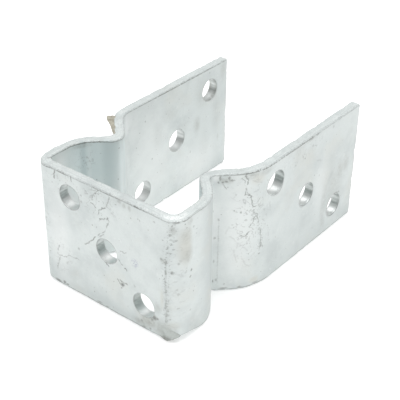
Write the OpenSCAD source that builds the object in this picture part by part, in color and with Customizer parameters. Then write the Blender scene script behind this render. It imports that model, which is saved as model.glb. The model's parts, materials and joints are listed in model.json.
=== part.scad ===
// Joist hanger folded from one flat bar, hot-dip galvanised.
// The bar stands on its edge: Z is up, the bearing face of the web lies on
// the plane y = 0, the legs run towards +Y and the middle line is x = 0.
// All sizes are in millimetres and include the zinc coat.

/* [Bar] */
// Width of the flat bar, which is the height of the hanger as it stands
bar_width = 40; // [30:1:80]
// Thickness of the bar
bar_thickness = 3.2; // [2:0.2:5]

/* [Joist side] */
// Clear width between the legs, where the joist sits
joist_gap = 48; // [44:1:80]
// Length of a leg, from the heel corner to its end
leg_length = 52.4; // [46:0.2:120]

/* [Loop] */
// Width of the loop over its outer faces
loop_width = 52; // [48:1:80]
// Depth of a loop side, from the bearing face to the corner where it turns in
side_depth = 15.3; // [13:0.1:40]
// Clear width of the neck between its two noses
neck_gap = 30; // [20:1:34]
// Angle of the folds that run in to the neck and out of it
fold_angle = 45; // [40:1:50]

/* [Bends] */
// Inside radius of the corners between the web and the loop sides
corner_radius = 2; // [1:0.5:4]
// Inside radius of the bend where a loop side turns in to the neck
side_radius = 10; // [4:0.5:14]
// Inside radius of the neck bend, which lies on the outside of the hanger
neck_radius = 1.5; // [1:0.25:2.5]
// Inside radius of the left heel, where the flare turns into the leg
left_heel_radius = 7; // [4:0.5:16]
// Inside radius of the right heel, where the flare turns into the leg
right_heel_radius = 14; // [4:0.5:16]

/* [Holes] */
// Diameter of the nine punched holes
hole_diameter = 7.8; // [5:0.1:10]
// Distance from the top edge of the bar to the highest hole of the web and of the right leg
top_hole_inset = 7.4; // [6:0.1:10]
// Distance from the top edge of the bar to the highest hole of the left leg
left_top_hole_inset = 8.2; // [6:0.1:10]
// Distance from the bottom edge of the bar to the lowest hole of each row
bottom_hole_inset = 8.4; // [6:0.1:10]
// Distance from the left face of the loop to the first hole of the web
web_left_hole_inset = 13.9; // [11:0.1:16]
// Distance from the right face of the loop to the last hole of the web
web_right_hole_inset = 11.7; // [11:0.1:16]
// Distance from the left heel corner to the first hole of the left leg
left_heel_hole_inset = 8.7; // [7:0.1:12]
// Distance from the end of the left leg to its last hole
left_end_hole_inset = 9.6; // [7:0.1:14]
// Distance from the right heel corner to the first hole of the right leg
right_heel_hole_inset = 7.9; // [7:0.1:12]
// Distance from the end of the right leg to its last hole
right_end_hole_inset = 10.9; // [7:0.1:14]

/* [Ends] */
// Radius of the rounded corners at the ends of the legs
end_corner_radius = 1.2; // [0.5:0.1:4]

/* [Hidden] */
$fn = 96;

// Radii on the middle line of the bar
corner_mid_r = corner_radius + bar_thickness / 2;
side_mid_r = side_radius + bar_thickness / 2;
neck_mid_r = neck_radius + bar_thickness / 2;
left_heel_mid_r = left_heel_radius + bar_thickness / 2;
right_heel_mid_r = right_heel_radius + bar_thickness / 2;

// Distance of the middle of the bar from x = 0: loop sides, legs, and the neck's sharp corner
loop_mid = (loop_width - bar_thickness) / 2;
leg_mid = (joist_gap + bar_thickness) / 2;
neck_mid = (neck_gap + bar_thickness) / 2 - neck_mid_r * (1 / cos(fold_angle) - 1);

// Where the folded middle line would have its other sharp corners, and where the legs end
neck_y = side_depth + (loop_mid - neck_mid) / tan(fold_angle);
heel_y = neck_y + (leg_mid - neck_mid) / tan(fold_angle);
hanger_length = heel_y + leg_length;

// Centre of each bend, on the right half of the hanger
corner_centre = [loop_mid - corner_mid_r, bar_thickness / 2 + corner_mid_r];
side_centre = [loop_mid - side_mid_r, side_depth - side_mid_r * tan(fold_angle / 2)];
neck_centre = [neck_gap / 2 + bar_thickness + neck_radius, neck_y];

// Roundings are this much fuller than a true tangent, so that they always cross the flats beside them
fullness = 0.004;
// Angle by which a rounding runs on under the flats beside it
run_on = 6;
// Holes and cutters run past the faces of the bar by this much
past = 1;

// Unit vector at an angle from +X
function towards(angle) = [cos(angle), sin(angle)];

// Centre of a heel, on the right half of the hanger
function heel_centre(heel_mid_r) = [leg_mid - heel_mid_r, heel_y + heel_mid_r * tan(fold_angle / 2)];

// The bends from the web to a leg, each as [centre, middle radius, heading before it, turn]
function bends(heel_mid_r) = [
    [corner_centre, corner_mid_r, 0, 90],
    [side_centre, side_mid_r, 90, fold_angle],
    [neck_centre, neck_mid_r, 90 + fold_angle, -2 * fold_angle],
    [heel_centre(heel_mid_r), heel_mid_r, 90 - fold_angle, fold_angle]
];

// Radius of a bend on the face that lies this far out from the middle line of the bar
function face_radius(bend, out) = bend[1] + sign(bend[3]) * out;

// Point of that face at the start of a bend, for part 0, or at its end, for part 1
function face_point(bend, out, part) =
    bend[0] + face_radius(bend, out) * towards(bend[2] + part * bend[3] - sign(bend[3]) * 90);

// Round sector that fills the outside of a bend
module bend_sector(bend, r) {
    start = bend[2] - 90 - run_on;
    sweep = bend[3] + 2 * run_on;
    translate(bend[0])
        intersection() {
            circle(r = r + fullness);
            polygon(concat([[0, 0]], [for (part = [0, 0.5, 1]) 2 * r * towards(start + part * sweep)]));
        }
}

// What one half of a face of the bar goes round, from the middle line of the hanger to y = end
module half_inside(out, heel_mid_r, end) {
    all_bends = bends(heel_mid_r);
    along = [for (bend = all_bends, part = [0, 1]) face_point(bend, out, part)];
    difference() {
        union() {
            polygon(concat([[0, bar_thickness / 2 - out]], along, [[leg_mid + out, end], [0, end]]));
            for (bend = all_bends)
                if (bend[3] > 0)
                    bend_sector(bend, face_radius(bend, out));
        }
        translate(neck_centre)
            circle(r = neck_mid_r - out + fullness);
    }
}

// What a whole face of the bar goes round
module inside_face(out, end) {
    half_inside(out, right_heel_mid_r, end);
    mirror([1, 0])
        half_inside(out, left_heel_mid_r, end);
}

// The folded bar, which is what lies between its outer and its inner face
module folded_bar() {
    linear_extrude(height = bar_width)
        difference() {
            inside_face(bar_thickness / 2, hanger_length);
            inside_face(-bar_thickness / 2, hanger_length + past);
        }
}

// Height of a hole that lies part of the way down its row, from 0 at the top to 1 at the bottom
function row_height(part, top_inset) =
    (1 - part) * (bar_width - top_inset) + part * bottom_hole_inset;

// Three holes through the web, in a row that falls from left to right
module web_holes() {
    first = -loop_width / 2 + web_left_hole_inset;
    last = loop_width / 2 - web_right_hole_inset;
    for (part = [0, 0.5, 1])
        translate([(1 - part) * first + part * last, -past, row_height(part, top_hole_inset)])
            rotate([-90, 0, 0])
                cylinder(h = bar_thickness + 2 * past, d = hole_diameter);
}

// Three holes through a leg; along the bar, from left end to right end, each row falls
module leg_holes(side, heel_inset, end_inset, top_inset) {
    first = heel_y + heel_inset;
    last = hanger_length - end_inset;
    for (part = [0, 0.5, 1])
        translate([side * leg_mid - bar_thickness / 2 - past,
                   (1 - part) * first + part * last,
                   row_height(side > 0 ? part : 1 - part, top_inset)])
            rotate([0, 90, 0])
                cylinder(h = bar_thickness + 2 * past, d = hole_diameter);
}

// What is taken off the two corners at the end of a leg to round them
module end_corners(side) {
    r = end_corner_radius;
    for (hand = [-1, 1])
        translate([side * leg_mid, hanger_length - r, bar_width / 2 + hand * (bar_width / 2 - r)])
            difference() {
                translate([0, (r + past) / 2, hand * (r + past) / 2])
                    cube([bar_thickness + 2 * past, r + past, r + past], center = true);
                rotate([0, 90, 0])
                    cylinder(h = bar_thickness + 4 * past, r = r + fullness, center = true);
            }
}

// The whole hanger: the folded bar with its holes
module hanger_strip() {
    color([0.80, 0.83, 0.83])
        difference() {
            folded_bar();
            web_holes();
            leg_holes(1, right_heel_hole_inset, right_end_hole_inset, top_hole_inset);
            leg_holes(-1, left_heel_hole_inset, left_end_hole_inset, left_top_hole_inset);
            end_corners(1);
            end_corners(-1);
        }
}

hanger_strip();
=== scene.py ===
import json
import math

import bmesh
import bpy
import numpy as np
from mathutils import Matrix, Vector


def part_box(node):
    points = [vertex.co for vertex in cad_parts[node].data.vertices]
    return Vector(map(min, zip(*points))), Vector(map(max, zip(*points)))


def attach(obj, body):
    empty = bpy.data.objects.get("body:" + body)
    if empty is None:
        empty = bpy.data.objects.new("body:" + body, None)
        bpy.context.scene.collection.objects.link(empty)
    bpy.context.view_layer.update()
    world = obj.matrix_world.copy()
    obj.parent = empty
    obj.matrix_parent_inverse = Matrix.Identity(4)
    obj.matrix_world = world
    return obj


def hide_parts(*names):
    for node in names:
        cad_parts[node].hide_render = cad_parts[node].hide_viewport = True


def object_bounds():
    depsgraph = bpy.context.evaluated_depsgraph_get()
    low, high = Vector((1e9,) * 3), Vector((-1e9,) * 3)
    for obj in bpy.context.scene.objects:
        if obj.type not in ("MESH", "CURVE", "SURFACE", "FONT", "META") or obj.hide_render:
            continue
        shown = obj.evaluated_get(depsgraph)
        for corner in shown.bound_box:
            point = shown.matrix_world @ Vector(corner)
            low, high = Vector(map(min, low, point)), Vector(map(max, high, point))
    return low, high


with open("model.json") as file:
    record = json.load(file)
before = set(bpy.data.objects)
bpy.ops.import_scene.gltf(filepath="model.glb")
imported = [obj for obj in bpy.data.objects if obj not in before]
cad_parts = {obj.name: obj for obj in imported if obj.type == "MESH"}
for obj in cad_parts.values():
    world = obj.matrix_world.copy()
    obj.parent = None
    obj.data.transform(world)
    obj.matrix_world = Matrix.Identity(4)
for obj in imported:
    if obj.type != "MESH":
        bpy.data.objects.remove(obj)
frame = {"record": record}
cad_box = [list(corner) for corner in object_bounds()]

# Hanger strip: one length of flat steel bar, punched with nine holes, folded cold into a
# loop with a pinched neck and two legs, and then dipped in molten zinc. It is made here in
# that order: the punched blank, its fold along a path, and the uneven coat of zinc.
MM = 0.001
mounts = {mount["name"]: mount for mount in frame["record"]["mounts"]}
bores = [mount for mount in mounts.values() if mount["kind"] == "bore"]
_, strip_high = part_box("hanger_strip")
bar_width = strip_high.z / MM
bar_thickness = bores[0]["dims"]["length_mm"]
hole_radius = bores[0]["dims"]["r_mm"]
hanger_length = strip_high.y / MM
leg_mid = abs(mounts["right_leg_face"]["pos_m"][0]) / MM + bar_thickness / 2
loop_mid = 24.4
neck_mid = 15.316
side_corner_y = 15.3
corner_bend = 3.6
side_bend = 11.6
neck_bend = 3.1
left_heel_bend = 8.6
right_heel_bend = 15.6
neck_y = side_corner_y + loop_mid - neck_mid
heel_y = neck_y + leg_mid - neck_mid
web_y = bar_thickness / 2
# Sharp corners of the middle line, from the end of the left leg to the end of the right
# one, each with the radius that its bend has there
fold_corners = [
    (-leg_mid, hanger_length, 0.0),
    (-leg_mid, heel_y, left_heel_bend),
    (-neck_mid, neck_y, neck_bend),
    (-loop_mid, side_corner_y, side_bend),
    (-loop_mid, web_y, corner_bend),
    (loop_mid, web_y, corner_bend),
    (loop_mid, side_corner_y, side_bend),
    (neck_mid, neck_y, neck_bend),
    (leg_mid, heel_y, right_heel_bend),
    (leg_mid, hanger_length, 0.0),
]


def flats_and_bends():
    """Each flat of the bar, as start, heading and length, with the bend after it."""
    points = [Vector(corner[:2]) for corner in fold_corners]
    cut_before = 0.0
    for k in range(1, len(points)):
        span = points[k] - points[k - 1]
        ahead = span.normalized()
        radius, turn, cut = fold_corners[k][2], 0.0, 0.0
        if k < len(points) - 1:
            onward = points[k + 1] - points[k]
            turn = math.atan2(span.x * onward.y - span.y * onward.x, span.dot(onward))
            cut = radius * math.tan(abs(turn) / 2)
        flat = span.length - cut_before - cut
        yield points[k - 1] + ahead * cut_before, ahead, flat, radius, turn
        cut_before = cut


def bends_along_bar():
    """Length of the bar, and [place along it, radius, turn in degrees] of each bend."""
    run, bends = 0.0, []
    for _, _, flat, radius, turn in flats_and_bends():
        run += flat
        if turn:
            arc = radius * abs(turn)
            bends.append((run + arc / 2, radius, math.degrees(turn)))
            run += arc
    return run, bends


bar_length, bends = bends_along_bar()
left_corner_bend, right_corner_bend = bends[3], bends[4]
web_middle = (left_corner_bend[0] + right_corner_bend[0]) / 2


def hole_on_blank(bore):
    """Place of a hole on the flat blank: along the bar from the left end, and up it."""
    x, y, z = (value / MM for value in bore["pos_m"])
    if abs(bore["axis"][1]) > 0.5:
        along = web_middle + x
    elif x < 0:
        along = hanger_length - y
    else:
        along = bar_length - (hanger_length - y)
    return along, z


holes = sorted(hole_on_blank(bore) for bore in bores)
web_holes = [hole for hole in holes if left_corner_bend[0] < hole[0] < right_corner_bend[0]]
hole_rows = sorted(up for _, up in web_holes)
hole_block = (hole_rows[1] - hole_rows[0]) / 2
mesh_step = 0.56
edge_round = 0.5
# Zinc that thickened the rim of a hole, and the rounding it left; two rims caught more of it
rim_coat, rim_round = 0.16, 0.1
full_rim_coat, full_rim_round = 0.34, 0.45
full_rims = holes[-2:]
left_end_low_round = 1.8
end_corner_round = 0.7
round_steps = [1 - math.cos(math.radians(a)) for a in (0, 22.5, 45, 67.5, 90)]
wall_rows = 4


def stepped(marks):
    """Marks along a line, with even steps of about mesh_step put in between them."""
    marks = sorted(marks)
    out = [marks[0]]
    for a, b in zip(marks, marks[1:]):
        count = max(1, math.ceil((b - a) / mesh_step - 1e-6))
        out += [a + (b - a) * k / count for k in range(1, count + 1)]
    return out


def blank_lines():
    """The lines of the blank's grid along the bar and up it, and the blocks round holes."""
    ends = [edge_round * step for step in round_steps]
    along = ends + [bar_length - e for e in ends]
    up = ends + [bar_width - e for e in ends]
    for centre, height in holes:
        along += [centre - hole_block, centre + hole_block]
    for height in hole_rows:
        up += [height - hole_block, height + hole_block]
    return (stepped(sorted({round(a, 4) for a in along})),
            stepped(sorted({round(b, 4) for b in up})))


def corner_round(a, b):
    """Radius of the end corner that is nearest to a point of the blank."""
    low_left = a < bar_length / 2 and b < bar_width / 2
    return left_end_low_round if low_left else end_corner_round


def rounded_corner(a, b):
    """Moves a point of the blank so that the four end corners are round."""
    r = corner_round(a, b)
    da = max(0.0, r - min(a, bar_length - a)) / r
    db = max(0.0, r - min(b, bar_width - b)) / r
    if da and db:
        new_a = da * math.sqrt(1 - db * db / 2)
        new_b = db * math.sqrt(1 - da * da / 2)
        a += math.copysign((da - new_a) * r, bar_length / 2 - a)
        b += math.copysign((db - new_b) * r, bar_width / 2 - b)
    return a, b


def gap_to_side(a, b):
    """Distance in the blank from a point to the nearest edge of the bar."""
    r = corner_round(a, b)
    da, db = min(a, bar_length - a), min(b, bar_width - b)
    if da < r and db < r:
        return r - math.hypot(r - da, r - db)
    return min(da, db)


def rim_of(hole):
    """Radius of a hole inside its coat, and the rounding of its rim."""
    if hole in full_rims:
        return hole_radius - full_rim_coat, full_rim_round
    return hole_radius - rim_coat, rim_round


def gap_to_hole(a, b):
    """Distance in the blank from a point to the nearest rim of a hole."""
    return min(math.hypot(a - hole[0], b - hole[1]) - rim_of(hole)[0] for hole in holes)


def half_thickness(side_gap, rim_gap, rim_rounding=rim_round):
    """How far a face lies from the middle of the bar, which falls off at rounded edges."""
    drop = 0.0
    for gap, radius in ((side_gap, edge_round), (rim_gap, rim_rounding)):
        if gap < radius:
            near = max(0.0, radius - gap)
            drop = max(drop, radius - math.sqrt(max(0.0, radius ** 2 - near ** 2)))
    return bar_thickness / 2 - drop


raised_edge = 1.5
raised_place = right_corner_bend[0] + 2.6
raised_reach = 4.2


def drawn_in(along, up, out):
    """How much narrower the bar is at each edge, where a bend has stretched its face."""
    total = 0.0
    if up < bar_width / 2:
        total += raised_edge * math.exp(-((along - raised_place) / raised_reach) ** 2)
    for place, radius, turn in bends:
        reach = radius * math.radians(abs(turn)) / 2 + 1.2
        near = math.exp(-((along - place) / reach) ** 2 * 1.4)
        stretch = 0.5 + math.copysign(out, out * turn) / bar_thickness
        total += 1.6 / radius * near * max(0.0, stretch)
    return total


blank_points, side_gaps, rim_gaps = [], [], []


def blank_point(a, b, out, side_gap, rim_gap):
    """Adds a point of the blank, in mm, and gives its number."""
    edge = abs(b / bar_width * 2 - 1) ** 6
    b += (bar_width / 2 - b) / (bar_width / 2) * drawn_in(a, b, out) * edge
    blank_points.append((a, -out, b))
    side_gaps.append(min(side_gap, 6.0))
    rim_gaps.append(min(rim_gap, 6.0))
    return len(blank_points) - 1


def punched_blank():
    """The flat blank: two faces of quads, round each hole in rings, and the walls between."""
    along, up = blank_lines()
    faces = []
    on_grid = {}

    def grid_pair(i, j):
        if (i, j) not in on_grid:
            a, b = rounded_corner(along[i], up[j])
            side, rim = max(0.0, gap_to_side(a, b)), gap_to_hole(a, b)
            out = half_thickness(side, rim)
            on_grid[i, j] = tuple(blank_point(a, b, face * out, side, rim)
                                  for face in (1, -1))
        return on_grid[i, j]

    def join(loop_a, loop_b, face):
        for k in range(len(loop_a) - 1):
            quad = (loop_a[k], loop_a[k + 1], loop_b[k + 1], loop_b[k])
            faces.append(quad if face == 1 else quad[::-1])

    def wall(loop_front, loop_back, side, rim):
        rows = [loop_front]
        for row in range(1, wall_rows):
            part = row / wall_rows
            rows.append([])
            for front, back in zip(loop_front, loop_back):
                a, y0, b0 = blank_points[front]
                _, y1, b1 = blank_points[back]
                out = -(y0 + (y1 - y0) * part)
                blank_points.append((a, -out, b0 + (b1 - b0) * part))
                side_gaps.append(side_gaps[front] if side is None else side)
                rim_gaps.append(rim_gaps[front] if rim is None else rim)
                rows[-1].append(len(blank_points) - 1)
            rows[-1][-1] = rows[-1][0] if loop_front[0] == loop_front[-1] else rows[-1][-1]
        rows.append(loop_back)
        for upper, lower in zip(rows, rows[1:]):
            join(upper, lower, 1)

    blocks = []
    for centre, height in holes:
        i0 = min(range(len(along)), key=lambda i: abs(along[i] - centre + hole_block))
        i1 = min(range(len(along)), key=lambda i: abs(along[i] - centre - hole_block))
        j0 = min(range(len(up)), key=lambda j: abs(up[j] - height + hole_block))
        j1 = min(range(len(up)), key=lambda j: abs(up[j] - height - hole_block))
        blocks.append((i0, i1, j0, j1, centre, height))
    inside = {(i, j) for i0, i1, j0, j1, _, _ in blocks
              for i in range(i0, i1) for j in range(j0, j1)}
    for i in range(len(along) - 1):
        for j in range(len(up) - 1):
            if (i, j) not in inside:
                corners = [grid_pair(i, j), grid_pair(i + 1, j),
                           grid_pair(i + 1, j + 1), grid_pair(i, j + 1)]
                faces.append([pair[0] for pair in corners])
                faces.append([pair[1] for pair in reversed(corners)])
    for i0, i1, j0, j1, centre, height in blocks:
        border = ([(i, j0) for i in range(i0, i1)] + [(i1, j) for j in range(j0, j1)]
                  + [(i, j1) for i in range(i1, i0, -1)] + [(i0, j) for j in range(j1, j0, -1)])
        rim_radius, rim_rounding = rim_of((centre, height))
        rings = rim_radius + rim_rounding * np.array(round_steps)
        outer_rings = 4
        rims = []
        for face in (1, -1):
            loops = []
            for ring in rings:
                loops.append([])
                for i, j in border:
                    angle = math.atan2(up[j] - height, along[i] - centre)
                    a = centre + ring * math.cos(angle)
                    b = height + ring * math.sin(angle)
                    out = half_thickness(9.0, ring - rim_radius, rim_rounding)
                    loops[-1].append(blank_point(a, b, face * out, gap_to_side(a, b),
                                                 ring - rim_radius))
            for step in range(1, outer_rings):
                part = step / outer_rings
                loops.append([])
                for k, (i, j) in enumerate(border):
                    ra, _, rb = blank_points[loops[len(rings) - 1][k]]
                    a = ra + (along[i] - ra) * part
                    b = rb + (up[j] - rb) * part
                    loops[-1].append(blank_point(a, b, face * bar_thickness / 2,
                                                 gap_to_side(a, b), gap_to_hole(a, b)))
            loops.append([grid_pair(i, j)[0 if face == 1 else 1] for i, j in border])
            for loop in loops:
                loop.append(loop[0])
            for inner, outer in zip(loops, loops[1:]):
                join(outer, inner, face)
            rims.append(loops[0])
        wall(rims[1], rims[0], None, 0.0)
    last_i, last_j = len(along) - 1, len(up) - 1
    outline = ([(i, 0) for i in range(last_i)] + [(last_i, j) for j in range(last_j)]
               + [(i, last_j) for i in range(last_i, 0, -1)]
               + [(0, j) for j in range(last_j, 0, -1)])
    outline.append(outline[0])
    wall([grid_pair(i, j)[1] for i, j in outline], [grid_pair(i, j)[0] for i, j in outline],
         0.0, None)
    mesh = bpy.data.meshes.new("hanger_blank")
    mesh.from_pydata([Vector(point) * MM for point in blank_points], [], faces)
    body = bmesh.new()
    body.from_mesh(mesh)
    bmesh.ops.recalc_face_normals(body, faces=body.faces)
    body.to_mesh(mesh)
    body.free()
    for name, values in (("side_gap", side_gaps), ("rim_gap", rim_gaps)):
        layer = mesh.attributes.new(name, "FLOAT", "POINT")
        layer.data.foreach_set("value", values)
    return mesh


def add(tree, kind, inputs=None, **settings):
    """Adds a node, with its settings, and sets or links its inputs."""
    node = tree.nodes.new(kind)
    for name, value in settings.items():
        setattr(node, name, value)
    for name, value in (inputs or {}).items():
        if isinstance(value, bpy.types.NodeSocket):
            tree.links.new(value, node.inputs[name])
        else:
            node.inputs[name].default_value = value
    return node


def sum_of(tree, operation, a, b=0.0):
    """The output of a Math node."""
    return add(tree, "ShaderNodeMath", {0: a, 1: b}, operation=operation).outputs[0]


def vector_of(tree, operation, a, b=(0.0, 0.0, 0.0), output="Vector"):
    """The output of a Vector Math node."""
    return add(tree, "ShaderNodeVectorMath", {0: a, 1: b}, operation=operation).outputs[output]


def scaled(tree, vector, factor):
    """A vector times a number."""
    return add(tree, "ShaderNodeVectorMath", {"Vector": vector, "Scale": factor},
               operation="SCALE").outputs["Vector"]


def noise_of(tree, place, scale, detail=3.0, roughness=0.55, seed=0.0, output=0):
    """The output of a noise texture, with its scale in patterns to the millimetre."""
    return add(tree, "ShaderNodeTexNoise",
               {"Vector": place, "W": seed, "Scale": scale, "Detail": detail,
                "Roughness": roughness}, noise_dimensions="4D").outputs[output]


def sockets(tree, *named):
    """Names a tree's inputs, each as (name, kind, value)."""
    for name, kind, value in named:
        socket = tree.interface.new_socket(name=name, in_out="INPUT", socket_type=kind)
        if value is not None:
            socket.default_value = value


def fold_and_coat():
    """Geometry nodes that fold a blank along its path and give it an uneven coat."""
    tree = bpy.data.node_groups.new("fold_and_coat", "GeometryNodeTree")
    sockets(tree, ("Blank", "NodeSocketGeometry", None),
            ("Fold corners", "NodeSocketObject", None),
            ("Path step", "NodeSocketFloat", 0.25 * MM),
            ("Lump height", "NodeSocketFloat", 0.1 * MM),
            ("Lumps per mm", "NodeSocketFloat", 0.1),
            ("Edge lump height", "NodeSocketFloat", 0.2 * MM),
            ("Edge lumps per mm", "NodeSocketFloat", 0.3),
            ("Edge lump reach in mm", "NodeSocketFloat", 1.5),
            ("Grain height", "NodeSocketFloat", 0.02 * MM),
            ("Grains per mm", "NodeSocketFloat", 0.7),
            ("Seed", "NodeSocketFloat", 3.0),
            ("Finish", "NodeSocketMaterial", None))
    tree.interface.new_socket(name="Strip", in_out="OUTPUT", socket_type="NodeSocketGeometry")
    given = tree.nodes.new("NodeGroupInput").outputs
    corners = add(tree, "GeometryNodeObjectInfo", {"Object": given["Fold corners"]})
    radius = add(tree, "GeometryNodeInputRadius")
    path = add(tree, "GeometryNodeFilletCurve",
               {"Curve": corners.outputs["Geometry"], "Radius": radius.outputs[0], "Count": 40},
               mode="POLY")
    path = add(tree, "GeometryNodeResampleCurve",
               {"Curve": path.outputs[0], "Length": given["Path step"]}, mode="LENGTH")
    flat = add(tree, "GeometryNodeInputPosition").outputs[0]
    in_mm = scaled(tree, flat, 1 / MM)
    kept = add(tree, "GeometryNodeStoreNamedAttribute",
               {"Geometry": given["Blank"], "Name": "blank", "Value": in_mm},
               data_type="FLOAT_VECTOR", domain="POINT")
    parts = add(tree, "ShaderNodeSeparateXYZ", {0: flat}).outputs
    sample = add(tree, "GeometryNodeSampleCurve",
                 {"Curves": path.outputs[0], "Length": parts["X"]}, mode="LENGTH")
    inward = vector_of(tree, "CROSS_PRODUCT", (0.0, 0.0, 1.0), sample.outputs["Tangent"])
    inward = vector_of(tree, "NORMALIZE", inward)
    rise = add(tree, "ShaderNodeCombineXYZ", {"Z": parts["Z"]}).outputs[0]
    across = scaled(tree, inward, parts["Y"])
    folded = vector_of(tree, "ADD", sample.outputs["Position"], across)
    folded = vector_of(tree, "ADD", folded, rise)
    bent = add(tree, "GeometryNodeSetPosition",
               {"Geometry": kept.outputs[0], "Position": folded})
    place = add(tree, "GeometryNodeInputNamedAttribute", {"Name": "blank"},
                data_type="FLOAT_VECTOR").outputs["Attribute"]
    lumps = noise_of(tree, place, given["Lumps per mm"], 2.0, 0.5, given["Seed"])
    grain = noise_of(tree, place, given["Grains per mm"], 2.0, 0.5, given["Seed"])
    depth = sum_of(tree, "ADD", sum_of(tree, "MULTIPLY", lumps, given["Lump height"]),
                   sum_of(tree, "MULTIPLY", grain, given["Grain height"]))
    side_gap = add(tree, "GeometryNodeInputNamedAttribute", {"Name": "side_gap"},
                   data_type="FLOAT").outputs["Attribute"]
    edge_lumps = noise_of(tree, place, given["Edge lumps per mm"], 2.0, 0.5, given["Seed"])
    edge_dips = add(tree, "ShaderNodeMapRange",
                    {"Value": edge_lumps, "From Min": 0.47, "From Max": 0.72},
                    interpolation_type="SMOOTHSTEP", clamp=False).outputs["Result"]
    near_edge = add(tree, "ShaderNodeMapRange",
                    {"Value": side_gap, "From Max": given["Edge lump reach in mm"],
                     "To Min": 1.0, "To Max": 0.0},
                    interpolation_type="SMOOTHSTEP", clamp=False).outputs["Result"]
    edge_depth = sum_of(tree, "MULTIPLY", sum_of(tree, "MULTIPLY", edge_dips, near_edge),
                        given["Edge lump height"])
    depth = sum_of(tree, "ADD", depth, edge_depth)
    normal = add(tree, "GeometryNodeInputNormal").outputs[0]
    sunk = scaled(tree, normal, sum_of(tree, "MULTIPLY", depth, -1.0))
    coated = add(tree, "GeometryNodeSetPosition",
                 {"Geometry": bent.outputs[0], "Offset": sunk})
    smooth = add(tree, "GeometryNodeSetShadeSmooth", {"Geometry": coated.outputs[0]})
    real = add(tree, "GeometryNodeRealizeInstances", {"Geometry": smooth.outputs[0]})
    done = add(tree, "GeometryNodeSetMaterial",
               {"Geometry": real.outputs[0], "Material": given["Finish"]})
    result = tree.nodes.new("NodeGroupOutput")
    tree.links.new(done.outputs[0], result.inputs[0])
    return tree


def made_by_nodes(name, mesh, tree, values):
    """A plain mesh object: what a tree makes of a mesh, with the tree's inputs set."""
    start = bpy.data.objects.new(name + "_start", mesh)
    bpy.context.collection.objects.link(start)
    modifier = start.modifiers.new("made", "NODES")
    modifier.node_group = tree
    for item in tree.interface.items_tree:
        if item.in_out == "INPUT" and item.name in values:
            modifier[item.identifier] = values[item.name]
    bpy.context.view_layer.update()
    graph = bpy.context.evaluated_depsgraph_get()
    made = bpy.data.meshes.new_from_object(start.evaluated_get(graph))
    made.name = name
    bpy.data.objects.remove(start)
    piece = bpy.data.objects.new(name, made)
    bpy.context.collection.objects.link(piece)
    return piece


def fold_corner_object():
    """The sharp corners of the fold as a line, with each bend's radius on its corner."""
    line = bpy.data.curves.new("fold_corners", "CURVE")
    line.dimensions = "3D"
    spline = line.splines.new("POLY")
    spline.points.add(len(fold_corners) - 1)
    for point, (x, y, radius) in zip(spline.points, fold_corners):
        point.co = (x * MM, y * MM, 0.0, 1.0)
        point.radius = radius * MM
    carrier = bpy.data.objects.new("fold_corners", line)
    bpy.context.collection.objects.link(carrier)
    return carrier


# Hairlines in the coat of the outer face, as places on the blank: along it and up it, in mm
bold_hairlines = [
    [(96.8, 39.6), (96.8, 38.9), (96.3, 38), (96.6, 36.9)],
    [(103, 39.4), (103.2, 38.4)],
    [(113.2, 39.6), (112.5, 38.9), (111.9, 37.8)],
    [(110.1, 34.2), (111.1, 34.2), (111.9, 33.4)],
    [(113, 31.6), (113.1, 33.3), (114.1, 33.9), (115.3, 34.9)],
    [(113.2, 30.3), (114.6, 30.7), (116.1, 31.9), (116.7, 30.9), (115.8, 29.5)],
    [(111.3, 23.6), (109.2, 21), (107.2, 19.3)],
    [(114.1, 17.1), (115.6, 15.7)],
    [(119.1, 12.9), (119.8, 11.8), (120.8, 11)],
    [(120.1, 13), (121.5, 12.4), (122.5, 12.8)],
    [(121.9, 17.8), (122.8, 17.3)],
    [(173.1, 39.6), (172.9, 38.9), (173.5, 37.6), (173.5, 36)],
    [(173.2, 34.6), (174.2, 32.2), (172.9, 32.7), (173.1, 33.9)],
    [(175, 29.7), (175.3, 28.3), (176.2, 28.2)],
    [(175.7, 24.3), (175.5, 23.4), (176.1, 23.7)],
    [(174.6, 20.1), (173.4, 18.9), (173.8, 18)],
    [(216.9, 12.6), (218.5, 12.3), (220, 12)],
]
fine_hairlines = [
    [(112.2, 38.4), (110.7, 36.8), (110.7, 35.6)],
    [(115.3, 34.9), (116.7, 36.8), (117.1, 38.5), (116.8, 39.3)],
    [(110.1, 39.3), (110.9, 39), (110.5, 38.6), (111.9, 38.8)],
    [(115.6, 29.5), (115.5, 28.1), (114.6, 26.6), (113, 25.3), (112, 24.3)],
    [(114.5, 25.8), (113, 24.4), (111.3, 23.6)],
    [(120.3, 23.1), (121.2, 23.2), (121.3, 22.8), (122.4, 23.2)],
    [(119.7, 19.8), (121, 18.4)],
    [(95.5, 10.8), (98, 10.8), (100.5, 12.2), (102.1, 12.3), (103.5, 12.8), (104.5, 12.4)],
    [(96.5, 9.6), (95.4, 7), (95, 5.4)],
    [(96.5, 14.2), (95.7, 12.2), (95.5, 10.9)],
    [(166.7, 37), (168, 35.1)],
    [(172, 38.2), (172.7, 37.2), (172.8, 35.9), (173.2, 34.6)],
    [(174.6, 31.5), (175, 29.7)],
    [(177.2, 30.3), (176.1, 28.9)],
    [(175.5, 27.4), (175.7, 26.1), (176.7, 25.2), (175.7, 24.3)],
    [(176.5, 24.9), (177.3, 21.4), (178.3, 17.1), (178, 15.1), (178.2, 13.7), (178, 12.3)],
    [(178.2, 15.1), (178.9, 12.9)],
    [(175.5, 23.1), (174.3, 21.4)],
    [(172.3, 19.2), (173.1, 18.6)],
    [(172.2, 28.8), (173.1, 27.9)],
]
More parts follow.
